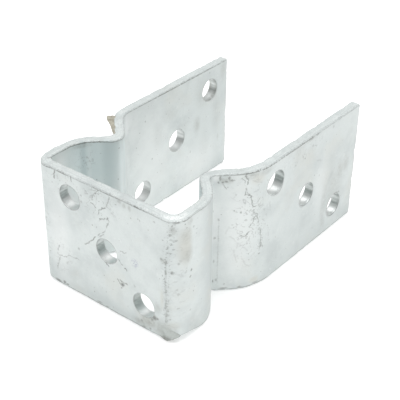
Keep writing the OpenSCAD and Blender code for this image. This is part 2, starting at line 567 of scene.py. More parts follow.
faint_hairlines = [
    [(169.3, 19.3), (170.2, 18.4), (171.6, 15.8)],
    [(173.1, 15), (174.2, 13.5)],
    [(170.5, 14.2), (171.4, 10)],
    [(172.5, 12), (173.8, 8.7), (174.8, 7.8)],
    [(174.6, 17.7), (175.2, 14.5)],
    [(168, 20.4), (168.6, 21.8), (169.8, 22.2)],
    [(174.8, 36.9), (177.6, 35.4)],
    [(180.9, 27.4), (181.3, 24.4)],
    [(180.9, 18.9), (181.2, 15.6)],
    [(204.2, 30.4), (208.2, 28.8)],
]
creases = [[(166, 25), (165.9, 3)], [(135.9, 26), (135.8, 17), (135.9, 7)]]
leg_smears = [
    [(214.4, 21), (212.1, 18.3), (210.4, 13.9), (210.3, 8.4), (211.4, 4.2)],
    [(222, 23.4), (219.9, 20.4), (218.1, 15.8)],
]
crumbled_lines = [
    [(137.2, 38.7), (136.9, 36.8), (136.7, 34.9), (136.1, 29.5), (135.9, 25.8), (135.8, 22.5),
     (135.9, 12.6), (135.8, 11.1), (136, 8.8), (136, 6)],
    [(174.4, 32), (175.2, 28.5), (175.8, 24.4), (176.6, 25), (177.3, 21.4), (178.3, 17.1),
     (178, 13.2)],
]


def gap_to_lines(tree, place, lines):
    """Distance from a place on the blank to the nearest of some lines on its outer face."""
    nearest = None
    for line in lines:
        for (a0, b0), (a1, b1) in zip(line, line[1:]):
            start = (a0, -bar_thickness / 2, b0)
            span = Vector((a1 - a0, 0.0, b1 - b0))
            away = vector_of(tree, "SUBTRACT", place, start)
            part = vector_of(tree, "DOT_PRODUCT", away, span / span.length_squared, "Value")
            part = sum_of(tree, "MINIMUM", sum_of(tree, "MAXIMUM", part, 0.0), 1.0)
            foot = scaled(tree, tuple(span), part)
            gap = vector_of(tree, "DISTANCE", away, foot, "Value")
            nearest = gap if nearest is None else sum_of(tree, "MINIMUM", nearest, gap)
    return nearest


def fading(tree, value, near, far):
    """1 where a value is under near, falling smoothly to 0 where it is past far."""
    return add(tree, "ShaderNodeMapRange",
               {"Value": value, "From Min": near, "From Max": far, "To Min": 1.0, "To Max": 0.0},
               interpolation_type="SMOOTHSTEP", clamp=False).outputs["Result"]


def rising(tree, value, low, high):
    """0 where a value is under low, rising smoothly to 1 where it is past high."""
    return add(tree, "ShaderNodeMapRange",
               {"Value": value, "From Min": low, "From Max": high},
               interpolation_type="SMOOTHSTEP", clamp=False).outputs["Result"]


def tinted(tree, under, over, amount):
    """One colour laid over another, by an amount from 0 to 1."""
    return add(tree, "ShaderNodeMix", {0: amount, 6: under, 7: over},
               data_type="RGBA").outputs[2]


def spots(tree, place, marks):
    """Soft marks on the blank: (along, up, reach along, reach up, face, strength) each."""
    total = None
    for along, up, reach_along, reach_up, face, strength in marks:
        centre = (along, -face * bar_thickness / 2, up)
        away = vector_of(tree, "SUBTRACT", place, centre)
        away = vector_of(tree, "MULTIPLY", away, (1 / reach_along, 0.5, 1 / reach_up))
        soft = add(tree, "ShaderNodeMapRange",
                   {"Value": vector_of(tree, "LENGTH", away, output="Value"), "From Min": 0.15,
                    "To Min": strength, "To Max": 0.0},
                   interpolation_type="SMOOTHSTEP", clamp=False).outputs["Result"]
        total = soft if total is None else sum_of(tree, "MAXIMUM", total, soft)
    return total


# Soft marks on the blank: along it, up it, reach along, reach up, 1 for the outer face, -1
# for the inner one or 0 for the middle of the edge, and strength
# Grey smears, with painted shade among them on the left leg's inner face
grey_smears_and_shade = [
    (218.8, 20, 2.4, 7, 1, 0.5), (216, 13, 3.6, 6, 1, 0.4), (140, 34.5, 2.2, 3.8, 1, 0.5),
    (140.3, 28, 2.4, 3.4, 1, 0.55), (137.3, 36.4, 1.4, 3, 1, 0.5), (130.5, 4, 4.2, 3, 1, 0.9),
    (127, 1.8, 4, 1.8, 1, 0.7), (136, 4.5, 3, 2.6, 1, 0.6), (132.3, 6, 1.8, 1.6, 1, 1.0),
    (135.5, 1.5, 3.2, 2.2, 1, 1.0), (136.2, 10, 1.2, 5, 1, 0.4), (167.8, 38, 3.2, 2, 1, 0.6),
    (174.5, 38.6, 3.4, 1.7, 1, 0.6), (16.2, 21.5, 1.6, 3.2, -1, 0.4),
    (14.5, 33, 4.5, 7, -1, 0.25), (2.2, 38.5, 1.8, 2.2, -1, 0.4), (4.6, 12, 0.8, 2.4, -1, 0.4),
    (22.3, 24.7, 2.4, 0.9, -1, 0.25), (200.5, 39.2, 4, 0.9, 1, 0.5),
    (135.2, 26.6, 1.2, 1.4, 1, 0.7),
]
# Soft smudges, with painted shade among them under the loop's inner top edge and on the left leg's
# inner face
soft_smudges_and_shade = [
    (16.2, 21.5, 2.6, 4, -1, 0.4), (134.5, 3.2, 4, 4.8, 1, 0.55), (139.8, 34.5, 2.6, 4, 1, 0.22),
    (140.2, 28.5, 2.6, 4.2, 1, 0.27), (132, 5, 3, 3, 1, 0.4), (13.5, 32, 5, 7, -1, 0.25),
    (133.5, 10, 2.2, 2.6, 1, 0.35), (222.5, 21, 3, 4, 1, 0.35), (122.2, 38.2, 1, 1.2, 1, 0.4),
    (124.1, 38.1, 0.8, 1.3, 1, 0.4), (141, 38.2, 1.6, 1.6, 1, 0.35),
    (179, 38.4, 3.4, 1.5, 1, 0.35), (77, 38.8, 5, 1.2, -1, 0.4), (2.4, 37, 2.4, 5, -1, 0.3),
    (6, 22, 3, 12, -1, 0.15), (216, 15, 8, 11, 1, 0.3), (30, 31, 5, 4, -1, 0.2),
    (24, 22, 4, 5, -1, 0.12), (36, 26, 4, 6, -1, 0.12), (12, 12, 4, 8, -1, 0.12),
    (219.5, 19.5, 2.6, 5, 1, 0.35), (211, 13, 2.6, 9, 1, 0.3),
]
restless_places = [
    (138, 22, 5, 22, 1, 0.4), (174.5, 24, 8, 22, 1, 1), (113, 35, 10, 7, 1, 1),
    (98, 11, 6, 9, 1, 0.7), (100, 37, 10, 5, 1, 0.8), (90.8, 20, 4, 26, 1, 1),
    (53, 20, 7, 26, 1, 1), (198, 36, 16, 4, 1, 0.8), (76, 34, 5, 5, -1, 1),
]
pits = [
    (134.8, 27, 0.6, 0.6, 1, 0.7), (135.9, 26.2, 0.4, 1.0, 1, 0.5),
    (136.7, 35.2, 0.6, 0.6, 1, 0.4), (136.9, 33.8, 0.5, 0.5, 1, 0.4),
    (135.9, 22.6, 0.4, 0.6, 1, 0.4), (135.8, 11.2, 0.5, 0.6, 1, 0.5), (136, 9, 0.5, 0.8, 1, 0.5),
    (137.1, 23.4, 0.6, 0.7, 1, 1.0), (141.6, 22.5, 0.5, 0.7, 1, 0.9),
    (141.2, 20.6, 0.5, 0.5, 1, 0.9), (139.7, 22.8, 0.4, 0.4, 1, 0.3),
    (138.2, 16.1, 0.5, 0.8, 1, 0.4), (138, 17.7, 0.45, 0.5, 1, 0.4),
    (138.2, 11.4, 0.45, 0.45, 1, 0.45), (141.3, 9.3, 0.45, 0.45, 1, 0.45),
    (138.3, 26.2, 0.45, 0.6, 1, 0.55), (137.4, 30.9, 0.4, 0.45, 1, 0.55),
    (142.3, 36, 0.45, 0.45, 1, 0.45), (137.2, 37.3, 0.5, 0.6, 1, 0.4),
    (137.9, 39, 0.8, 0.5, 1, 0.7), (137.8, 33.6, 0.45, 0.45, 1, 0.6),
    (132.2, 6, 1.2, 1.1, 1, 0.9), (133.3, 6.1, 0.7, 0.6, 1, 0.8), (131.4, 5, 0.7, 0.6, 1, 0.8),
    (127.6, 2.7, 0.6, 0.7, 1, 0.7), (128.4, 0.9, 0.9, 0.45, 1, 0.9),
    (130.7, 1.4, 0.7, 0.45, 1, 0.8), (120.8, 11.8, 1.0, 0.9, 1, 1.2),
    (120.3, 10.5, 0.45, 0.45, 1, 0.8), (95.1, 0.9, 1.9, 0.8, 1, 1.0),
    (97.5, 1.4, 0.8, 0.9, 1, 1.0), (98.7, 1.1, 0.8, 0.6, 1, 0.9), (111.6, 1.1, 1.4, 0.5, 1, 0.8),
    (114.6, 0.9, 0.8, 0.45, 1, 0.7), (108.5, 37.2, 0.45, 0.45, 1, 0.6),
    (108.9, 36.6, 0.4, 0.4, 1, 0.6), (104.5, 16.5, 0.45, 0.7, 1, 0.7),
    (106.5, 35.1, 0.4, 0.4, 1, 0.6), (106.5, 33.1, 0.5, 0.6, 1, 0.5),
    (127, 36.1, 0.4, 0.4, 1, 0.5), (127.6, 35.9, 0.4, 0.4, 1, 0.5),
    (132.6, 37.6, 0.6, 0.5, 1, 0.45), (125.2, 13.5, 0.45, 0.7, 1, 0.45),
    (120.6, 38.9, 1.1, 0.9, 1, 0.4), (166.1, 38.8, 0.5, 1.4, 1, 0.9),
    (165.6, 37.4, 0.5, 0.5, 1, 0.9), (166.9, 37.4, 0.6, 0.45, 1, 0.9),
    (167.8, 37.5, 0.7, 0.45, 1, 0.9), (168.6, 38.6, 0.5, 1.0, 1, 0.9),
    (169.4, 37.8, 1.0, 0.45, 1, 0.8), (172, 27.1, 0.5, 0.6, 1, 0.75),
    (173.3, 24.2, 0.7, 0.45, 1, 0.55), (177.9, 11.1, 0.45, 0.4, 1, 0.75),
    (170.5, 33, 0.4, 0.5, 1, 0.4), (164.8, 19, 0.8, 0.7, 1, 0.6), (164.7, 10.9, 0.6, 0.9, 1, 0.5),
    (165.9, 25.2, 0.5, 0.7, 1, 0.6), (163.9, 28.1, 0.5, 0.6, 1, 0.4),
    (39, 18.6, 0.45, 0.55, -1, 0.65), (41.9, 33.3, 0.4, 0.4, -1, 0.55),
    (90.6, 39.5, 1.0, 1.3, -1, 0.85), (75.3, 34.7, 0.45, 0.45, -1, 0.5),
    (74.6, 33.5, 0.4, 0.45, -1, 0.5), (75.7, 33.1, 0.35, 0.35, -1, 0.5),
    (201.8, 36.6, 0.55, 0.55, 1, 0.5), (212.8, 38.3, 0.55, 0.7, 1, 0.45),
    (201, 39.3, 1.4, 0.5, 1, 0.6), (204.2, 39.3, 1.1, 0.45, 1, 0.6),
    (164.4, 3.8, 0.55, 0.8, 1, 0.8), (165.6, 4.2, 0.45, 0.7, 1, 0.6),
    (167.8, 1, 1.9, 0.5, 1, 0.7), (172.3, 1, 1.0, 0.5, 1, 0.7), (177, 1.2, 1.3, 0.5, 1, 0.6),
    (168, 2.6, 0.45, 0.5, 1, 0.5),
]
lilac_places = [(125.4, 21.3, 1.9, 1.9, 1, 1)]
beige_places = [
    (176.5, 37, 3.4, 2.6, 1, 0.6), (139.8, 31, 2.8, 9, 1, 0.7), (129, 4, 5, 3.5, 1, 0.4),
    (137.2, 5.5, 2.2, 2, 1, 0.4), (176.5, 2.4, 2.4, 1.6, 1, 0.7), (134.9, 14, 0.8, 5, 1, 0.5),
    (200, 33, 5, 5, 1, 0.4),
]
# Painted shade: places darkened to zinc grey where shade falls, as on the loop's right side, the
# legs, the bottom of the web, under the loop's inner top edge and along parts of the top edges
shaded_places = [
    (150, 20, 6, 60, 1, 0.8), (205, 16, 34, 40, 1, 0.4), (8, 24, 18, 40, -1, 0.4),
    (114, 0, 30, 6.5, 1, 0.75), (72, 39.6, 13, 3, -1, 0.5), (136, 17, 1.8, 9, 1, 0.45),
    (153, 3, 3, 6, 1, 0.7), (41, 40, 6, 2, 0, 0.6), (164, 40, 3, 2, 0, 0.5),
    (170, 40, 4, 2, 0, 0.6), (200, 40, 10, 2, 0, 0.3),
]
# Painted light: a lighter bluish cast on the inner faces of the loop's sides
painted_blue_light_places = [
    (73.5, 34, 14, 18, -1, 0.95), (154.5, 34, 14, 18, -1, 0.95),
]
# Painted reflections inside the loop: upright dark teal bands of painted shade
painted_shade_bands = [
    (76.6, 31, 1.7, 24, -1, 0.6), (69, 31, 2.6, 26, -1, 0.45), (64.9, 28, 0.6, 30, -1, 0.3),
]
# Painted reflections inside the loop: upright light bands of painted highlight
painted_highlight_bands = [
    (74.4, 29, 0.9, 30, -1, 0.5), (66.1, 28, 0.8, 30, -1, 0.5),
]
# Painted light: places lightened towards white, as on the lower inside of the loop, the left of
# the web, the legs and parts of the top edges
painted_light_places = [
    (80, 20, 14, 18, -1, 0.8), (40, 18, 16, 34, -1, 0.5), (165, 24, 3.4, 14, 1, 0.35),
    (165, 39, 2.2, 2, 1, 0.5), (85.5, 35, 4.5, 6, -1, 0.8), (17, 7, 18, 12, -1, 0.4),
    (47, 32, 4.5, 12, -1, 0.45), (208, 20, 6, 16, 1, 0.25), (50, 36, 6, 6, -1, 0.5),
    (74, 28, 16, 12, -1, 0.8), (97, 18, 6, 22, 1, 0.45), (171, 20, 8, 30, 1, 0.45),
    (50.5, 40, 2.5, 2, 0, 0.6), (68, 40, 3.5, 2, 0, 0.5), (138, 40, 6, 2, 0, 0.8),
]
# Bolder edge lines: partly ash and partly painted shade, as along the bottom edges and the loop's
# inner top edge
bold_arrises = [
    (94, 39.5, 3, 3, 1, 1), (99.5, 39.5, 3, 3, 1, 1), (116, 39.5, 7, 3, 1, 1),
    (127, 39.5, 4, 3, 1, 1), (138.5, 39.5, 3, 3, 1, 1), (177, 39.5, 12, 3, 1, 1),
    (194, 39.5, 14, 3, 1, 1), (25, 39.5, 30, 3, -1, 0.9), (112, 0.5, 26, 3, 1, 1),
    (175, 0.5, 14, 3, 1, 0.8), (206, 0.5, 22, 3, 1, 0.7), (150, 0.5, 12, 3, 1, 0.6),
    (76, 39.5, 14, 3, -1, 1),
]
scaled_walls = [(9.6, 31.8, 7, 7, -1, 0.95), (9.6, 31.8, 7, 7, 1, 0.95)]
haloed_rims = [
    (198, 23.4, 3.4, 3.4, 1, 0.7), (8, 31, 4, 5, -1, 0.8), (214.4, 8, 3.4, 5, 1, 0.7),
    (197.4, 18, 3, 3, 1, 0.5), (185, 29.6, 3.6, 3.6, 1, 0.6),
]
zinc_pale = (0.70, 0.745, 0.735, 1.0)
# Zinc grey: the coat's own darker tone, and also the colour of painted shade
zinc_grey_and_painted_shade = (0.58, 0.625, 0.62, 1.0)
zinc_beige = (0.64, 0.645, 0.595, 1.0)
painted_blue_light = (0.80, 0.885, 0.89, 1.0)
painted_shade_teal = (0.58, 0.67, 0.68, 1.0)
painted_highlight_colour = (0.87, 0.93, 0.935, 1.0)
# Zinc white: the colour of white flecks in the coat, and also of painted light
zinc_white_and_painted_light = (0.88, 0.90, 0.89, 1.0)
zinc_lilac = (0.46, 0.48, 0.56, 1.0)
smear_and_shade_grey = (0.36, 0.375, 0.345, 1.0)
ash_and_shade_grey = (0.165, 0.17, 0.16, 1.0)
wall_pale = (0.66, 0.69, 0.68, 1.0)
wall_grey = (0.44, 0.47, 0.46, 1.0)
wall_painted_highlight = (0.86, 0.89, 0.88, 1.0)


def times(tree, a, b):
    """One amount times another."""
    return sum_of(tree, "MULTIPLY", a, b)


def more_of(tree, *amounts):
    """The largest of some amounts."""
    most = amounts[0]
    for amount in amounts[1:]:
        most = sum_of(tree, "MAXIMUM", most, amount)
    return most


def close_to(tree, value, target, near, far):
    """1 where a value is within near of a target, falling to 0 where it is far from it."""
    away = sum_of(tree, "ABSOLUTE", sum_of(tree, "SUBTRACT", value, target))
    return fading(tree, away, near, far)


def galvanised():
    """Hot-dip zinc: cloudy pale grey, stained in places, with hairlines, pits and specks, and with
    painted light and painted shade.
    """
    finish = bpy.data.materials.new("galvanised_zinc")
    finish.use_nodes = True
    tree = finish.node_tree
    shader = tree.nodes["Principled BSDF"]
    place = add(tree, "ShaderNodeAttribute", attribute_name="blank").outputs["Vector"]
    side_gap = add(tree, "ShaderNodeAttribute", attribute_name="side_gap").outputs["Fac"]
    rim_gap = add(tree, "ShaderNodeAttribute", attribute_name="rim_gap").outputs["Fac"]
    cloud = noise_of(tree, place, 0.09, 4.0, 0.6, 1.0)
    fleck = noise_of(tree, place, 0.55, 4.0, 0.65, 2.0)
    blotch = noise_of(tree, place, 1.1, 3.0, 0.6, 17.0)
    grit = noise_of(tree, place, 2.6, 3.0, 0.6, 4.0)
    restless = spots(tree, place, restless_places)
    wander = vector_of(tree, "SUBTRACT", noise_of(tree, place, 0.8, 2.0, 0.55, 6.0, output=1),
                       (0.5, 0.5, 0.5))
    ragged = vector_of(tree, "SUBTRACT", noise_of(tree, place, 2.1, 2.0, 0.6, 26.0, output=1),
                       (0.5, 0.5, 0.5))
    rough_place = vector_of(tree, "ADD", place,
                            vector_of(tree, "MULTIPLY", ragged, (0.9, 0.0, 0.9)))
    wandering = vector_of(tree, "ADD", rough_place,
                          vector_of(tree, "MULTIPLY", wander, (1.1, 0.0, 1.1)))
    # Ground colours of the coat
    colour = tinted(tree, zinc_pale, zinc_grey_and_painted_shade, rising(tree, cloud, 0.45, 0.72))
    mottle = rising(tree, noise_of(tree, place, 0.2, 3.0, 0.6, 33.0), 0.46, 0.68)
    colour = tinted(tree, colour, zinc_grey_and_painted_shade, times(tree, mottle, 0.4))
    colour = tinted(tree, colour, zinc_grey_and_painted_shade, times(tree, rising(tree, grit, 0.48, 0.66), 0.2))
    # Painted shade: zinc grey over the shaded places
    colour = tinted(tree, colour, zinc_grey_and_painted_shade, spots(tree, place, shaded_places))
    colour = tinted(tree, colour, zinc_white_and_painted_light,
                    times(tree, rising(tree, fleck, 0.54, 0.8), 0.4))
    beige = rising(tree, noise_of(tree, place, 0.07, 3.0, 0.6, 9.0), 0.52, 0.68)
    beige = more_of(tree, times(tree, beige, 0.3), spots(tree, place, beige_places))
    colour = tinted(tree, colour, zinc_beige, beige)
    edge_face = fading(tree, side_gap, 0.1, 0.4)
    # Painted light over its places, together with white flecks on the edge faces
    painted_light_and_flecks = more_of(tree, spots(tree, place, painted_light_places),
                     times(tree, times(tree, edge_face, rising(tree, fleck, 0.35, 0.6)), 0.25))
    colour = tinted(tree, colour, zinc_white_and_painted_light, painted_light_and_flecks)
    flat_face = rising(tree, side_gap, 0.4, 0.9)
    # Painted light: the lighter bluish cast inside the loop, kept off the edges
    colour = tinted(tree, colour, painted_blue_light,
                    times(tree, spots(tree, place, painted_blue_light_places), flat_face))
    # Painted reflections: upright bands of painted shade and painted highlight inside the loop
    colour = tinted(tree, colour, painted_shade_teal, spots(tree, place, painted_shade_bands))
    colour = tinted(tree, colour, painted_highlight_colour, spots(tree, place, painted_highlight_bands))
    along_edge = vector_of(tree, "MULTIPLY", place, (0.12, 2.2, 0.12))
    sheared = noise_of(tree, along_edge, 1.0, 2.0, 0.6, 23.0)
    sheared = more_of(tree, times(tree, rising(tree, sheared, 0.48, 0.62), 0.6),
                      times(tree, rising(tree, grit, 0.48, 0.6), 0.7))
    colour = tinted(tree, colour, zinc_grey_and_painted_shade, times(tree, sheared, edge_face))
    # Smears and smudges in grey, partly stains and partly painted shade
    smear_and_shade = times(tree, spots(tree, place, grey_smears_and_shade),
                  rising(tree, sum_of(tree, "ADD", fleck, grit), 0.62, 1.2))
    band = fading(tree, gap_to_lines(tree, rough_place, leg_smears), 0.3, 1.9)
    smudge_and_shade = more_of(tree, spots(tree, rough_place, soft_smudges_and_shade), times(tree, band, 0.25))
    smear_and_shade = more_of(tree, times(tree, smear_and_shade, 0.8),
                    times(tree, smudge_and_shade, rising(tree, blotch, 0.1, 0.62)))
    colour = tinted(tree, colour, smear_and_shade_grey, smear_and_shade)
    lilac = times(tree, spots(tree, place, lilac_places), rising(tree, grit, 0.46, 0.54))
    colour = tinted(tree, colour, zinc_lilac, lilac)
    # Hairlines, which wander and break off
    bold = times(tree, fading(tree, gap_to_lines(tree, wandering, bold_hairlines), 0.06, 0.28),
                 rising(tree, blotch, 0.34, 0.5))
    fine = times(tree, fading(tree, gap_to_lines(tree, wandering, fine_hairlines), 0.04, 0.22),
                 rising(tree, fleck, 0.36, 0.5))
    faint = times(tree, fading(tree, gap_to_lines(tree, wandering, faint_hairlines), 0.1, 0.3),
                  rising(tree, fleck, 0.3, 0.6))
    streak_gap = gap_to_lines(tree, wandering, crumbled_lines)
    streak = more_of(tree, times(tree, fading(tree, streak_gap, 0.05, 0.3),
                                 rising(tree, blotch, 0.46, 0.6)),
                     times(tree, fading(tree, streak_gap, 0.3, 1.2),
                           rising(tree, grit, 0.55, 0.65)))
    crease = times(tree, fading(tree, gap_to_lines(tree, rough_place, creases), 0.04, 0.3),
                   rising(tree, fleck, 0.25, 0.6))
    contour = noise_of(tree, place, 0.36, 2.0, 0.55, 21.0)
    scribble = times(tree, close_to(tree, contour, 0.5, 0.006, 0.028),
                     rising(tree, fleck, 0.46, 0.54))
    crack = more_of(tree, times(tree, bold, 0.66), times(tree, fine, 0.5),
                    times(tree, faint, 0.17), times(tree, streak, 0.56), times(tree, crease, 0.22),
                    times(tree, times(tree, scribble, restless), 0.34))
    # Pits and specks
    pit = spots(tree, rough_place, pits)
    grain = noise_of(tree, place, 1.4, 1.0, 0.4, 12.0)
    speck = rising(tree, sum_of(tree, "ADD", grain, times(tree, restless, 0.025)), 0.73, 0.77)
    # Lines along the edges of the bar and round the rims of the holes: partly ash and partly
    # painted shade on the rounded edges and rims
    uneven = times(tree, sum_of(tree, "SUBTRACT", grit, 0.5), 0.6)
    ragged_gap = sum_of(tree, "ADD", side_gap, uneven)
    arris = times(tree, close_to(tree, ragged_gap, edge_round, 0.03, 0.2),
                  rising(tree, blotch, 0.34, 0.5))
    bolder = spots(tree, place, bold_arrises)
    crumbs = times(tree, times(tree, close_to(tree, ragged_gap, edge_round, 0.15, 0.5), bolder),
                   rising(tree, grit, 0.52, 0.62))
    arris = times(tree, arris, sum_of(tree, "ADD", times(tree, bolder, 0.45), 0.42))
    out = add(tree, "ShaderNodeSeparateXYZ", {0: place}).outputs["Y"]
    lip = close_to(tree, sum_of(tree, "ABSOLUTE", out), bar_thickness / 2 - 0.3, 0.08, 0.3)
    lip = times(tree, times(tree, lip, fading(tree, side_gap, 0.02, 0.2)),
                rising(tree, grit, 0.44, 0.6))
    rim = times(tree, close_to(tree, rim_gap, 0.06, 0.06, 0.24), rising(tree, fleck, 0.3, 0.5))
    halo = times(tree, close_to(tree, rim_gap, 0.5, 0.16, 0.42), spots(tree, place, haloed_rims))
    # Dark marks: cracks, pits and specks, and the edge and rim lines, which are partly painted
    # shade
    dirt_and_shade = more_of(tree, crack, times(tree, pit, 0.7), times(tree, speck, 0.45), arris,
                   times(tree, crumbs, 0.7), times(tree, lip, 0.25), times(tree, rim, 0.6),
                   times(tree, halo, 0.5))
    colour = tinted(tree, colour, ash_and_shade_grey, dirt_and_shade)
    # Walls of the holes: scored and grey at the sides, with painted light: paler on the upper wall
    # that faces down, and a painted highlight on the lower wall that faces up
    wall = fading(tree, rim_gap, 0.03, 0.1)
    across_wall = vector_of(tree, "MULTIPLY", place, (1.0, 0.12, 1.0))
    scored = noise_of(tree, across_wall, 1.3, 2.0, 0.6, 14.0)
    facing = add(tree, "ShaderNodeNewGeometry").outputs["Normal"]
    rise = add(tree, "ShaderNodeSeparateXYZ", {0: facing}).outputs["Z"]
    wall_colour = tinted(tree, wall_pale, wall_grey, rising(tree, scored, 0.3, 0.68))
    # Painted light: paler where the wall faces down, and a painted highlight where it faces up
    wall_colour = tinted(tree, wall_colour, wall_pale, fading(tree, rise, -0.9, -0.45))
    wall_colour = tinted(tree, wall_colour, wall_painted_highlight, rising(tree, rise, 0.35, 0.8))
    scaly = times(tree, spots(tree, place, scaled_walls), rising(tree, blotch, 0.3, 0.55))
    wall_colour = tinted(tree, wall_colour, smear_and_shade_grey, scaly)
    colour = tinted(tree, colour, wall_colour, wall)
    rough = sum_of(tree, "ADD", 0.34, times(tree, fleck, 0.3))
    rough = sum_of(tree, "SUBTRACT", rough, times(tree, wall, 0.1))
    rough = sum_of(tree, "ADD", rough, times(tree, edge_face, 0.2))
    metal = sum_of(tree, "ADD", 0.45, times(tree, wall, 0.4))
    relief = sum_of(tree, "ADD", times(tree, fleck, 0.7), times(tree, grit, 0.25))
    bump = add(tree, "ShaderNodeBump",
               {"Strength": 0.35, "Distance": 0.12 * MM, "Height": relief})
    tree.links.new(colour, shader.inputs["Base Color"])
    tree.links.new(rough, shader.inputs["Roughness"])
    tree.links.new(bump.outputs[0], shader.inputs["Normal"])
    tree.links.new(metal, shader.inputs["Metallic"])
    return finish


zinc = galvanised()
corner_line = fold_corner_object()
strip = made_by_nodes("hanger_strip_galvanised", punched_blank(), fold_and_coat(),
                      {"Fold corners": corner_line, "Path step": 0.25 * MM,
                       "Lump height": 0.1 * MM, "Lumps per mm": 0.11,
                       "Edge lump height": 0.26 * MM, "Edge lumps per mm": 0.33,
                       "Edge lump reach in mm": 1.6,
                       "Grain height": 0.03 * MM, "Grains per mm": 0.8,
                       "Seed": 3.0, "Finish": zinc})
bpy.data.objects.remove(corner_line)
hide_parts("hanger_strip")
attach(strip, "root")

# Zinc flake: a thin tongue of surplus zinc that froze on the top edge outside the left
# neck as the part was lifted from the bath. It tapers from its root at the heel to the neck.
def dross(name, pale, dark, per_metre, rough):
    """Surplus zinc: rough and stained by ash, on Object coordinates."""
    finish = bpy.data.materials.new(name)
    finish.use_nodes = True
    tree = finish.node_tree
    shader = tree.nodes["Principled BSDF"]
    place = add(tree, "ShaderNodeTexCoord").outputs["Object"]
    stain = noise_of(tree, place, per_metre, 4.0, 0.65, 5.0)
    crust = noise_of(tree, place, per_metre * 4, 3.0, 0.6, 8.0)
    colour = tinted(tree, pale, dark, rising(tree, stain, 0.4, 0.66))
    bump = add(tree, "ShaderNodeBump",
               {"Strength": 0.6, "Distance": 0.15 * MM, "Height": crust})
    tree.links.new(colour, shader.inputs["Base Color"])
    tree.links.new(bump.outputs[0], shader.inputs["Normal"])
    shader.inputs["Roughness"].default_value = rough
    shader.inputs["Metallic"].default_value = 0.3
    return finish


def path_place(along, out, up):
    """Point of the folded bar, in metres, for a place on the blank in mm."""
    run = 0.0
    for start, ahead, flat, radius, turn in flats_and_bends():
        if along <= run + flat or not turn:
            spot, heading = start + ahead * (along - run), ahead
            break
        run += flat
        arc = radius * abs(turn)
        if along <= run + arc:
            part = turn * (along - run) / arc
            side = math.copysign(1.0, turn)
            left = Vector((-ahead.y, ahead.x)) * side
            centre = start + ahead * flat + left * radius
            heading = Vector((ahead.x * math.cos(part) - ahead.y * math.sin(part),
                              ahead.x * math.sin(part) + ahead.y * math.cos(part)))
            spot = centre - Vector((-heading.y, heading.x)) * side * radius
            break
        run += arc
    spot = spot + Vector((heading.y, -heading.x)) * out
    return Vector((spot.x, spot.y, up)) * MM


surplus_margin = 0.06 * MM


def kept_in_box(spot, margin):
    """A point of surplus zinc, drawn back to the box that the bar fills."""
    low, high = (Vector(corner) for corner in cad_box)
    return Vector([min(max(spot[k], low[k] + margin), high[k] - margin) for k in range(3)])


def smooth_mesh(name, body):
    """A mesh with smooth faces, made from a body that is then given up."""
    mesh = bpy.data.meshes.new(name)
    body.to_mesh(mesh)
    body.free()
    for face in mesh.polygons:
        face.use_smooth = True
    return mesh


flake_root = (53.6, 64.5)
flake_reach = 1.85
flake_top = 39.7
flake_thick = 0.75
flake_steps = 14


def flake_mesh():
    """A pointed tongue, thick along its root on the steel and thin along its free edge."""
    body = bmesh.new()
    rows = []
    for k in range(flake_steps + 1):
        part = k / flake_steps
        along = flake_root[0] + (flake_root[1] - flake_root[0]) * part
        reach = flake_reach * (1 - part) ** 1.15 * (1 + 0.1 * math.sin(9 * part)) + 0.08
        root = bar_thickness / 2 - 0.5
        thick = flake_thick * (1 - 0.5 * part)
        sag = 0.25 * math.sin(5 * part + 0.6)
        rows.append([body.verts.new(path_place(along, root + out, flake_top + drop))
                     for out, drop in ((0, 0.12), (0.5 + reach * 0.55, sag * 0.4),
                                       (0.5 + reach, sag - 0.12), (0.5 + reach, sag - 0.3),
                                       (0.5 + reach * 0.5, -0.45 * thick + sag * 0.4),
                                       (0, -thick))])
    for before, after in zip(rows, rows[1:]):
        for k in range(6):
            m = (k + 1) % 6
            body.faces.new((before[k], before[m], after[m], after[k]))
    body.faces.new(rows[0])
    body.faces.new(rows[-1][::-1])
    bmesh.ops.recalc_face_normals(body, faces=body.faces)
    bmesh.ops.subdivide_edges(body, edges=body.edges, cuts=1, use_grid_fill=True, smooth=0.6)
    for vert in body.verts:
        vert.co = kept_in_box(vert.co, surplus_margin)
    return smooth_mesh("zinc_flake", body)


# The flake's dark olive tone is painted shade; the blotches in it are ash stains
flake_finish = dross("flake_olive_and_shade", (0.50, 0.48, 0.40, 1.0), (0.33, 0.31, 0.25, 1.0), 700.0, 0.6)
flake = bpy.data.objects.new("zinc_flake", flake_mesh())
bpy.context.collection.objects.link(flake)
flake.data.materials.append(flake_finish)
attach(flake, "root")

# Zinc drip: the last zinc to run off the part, frozen in a lip under the front right bend.
# It swells out of the coat, is rough and stained by ash below, and reaches down to where
# the bar's edge would be.
drip_middle = right_corner_bend[0] - 1.7
drip_half_length = 2.7
drip_swell = 0.6
drip_root = 2.6
drip_up = 1.8
drip_rise = 2.6
drip_fall = 1.75


def drip_mesh():
    """A lumpy tear that grows out of the bend, flattened below and thinning to both ends."""
    body = bmesh.new()
    bmesh.ops.create_icosphere(body, subdivisions=5, radius=1.0)
    for vert in body.verts:
        x, y, z = vert.co
        wave = (math.sin(5.1 * x + 2.3 * z) + math.sin(4.3 * y - 3.7 * x + 1.1)
                + math.sin(8.7 * z + 6.1 * x)) / 3
        above = max(z, 0.0)
        along = drip_middle + drip_half_length * x * (1 - 0.45 * above) * (1 + 0.05 * wave)
        swell = drip_swell * (1 - 1.25 * above) * (1 + 0.12 * wave)
        out = bar_thickness / 2 + (swell * y if y > 0 else drip_root * y)
        sag = 1 - (0.95 * x if x > 0 else 0.55 * abs(x) ** 1.6)
        up = drip_up + (drip_rise * z if z > 0 else drip_fall * z * sag)
        vert.co = kept_in_box(path_place(along, out, up), surplus_margin)
    return smooth_mesh("zinc_drip", body)


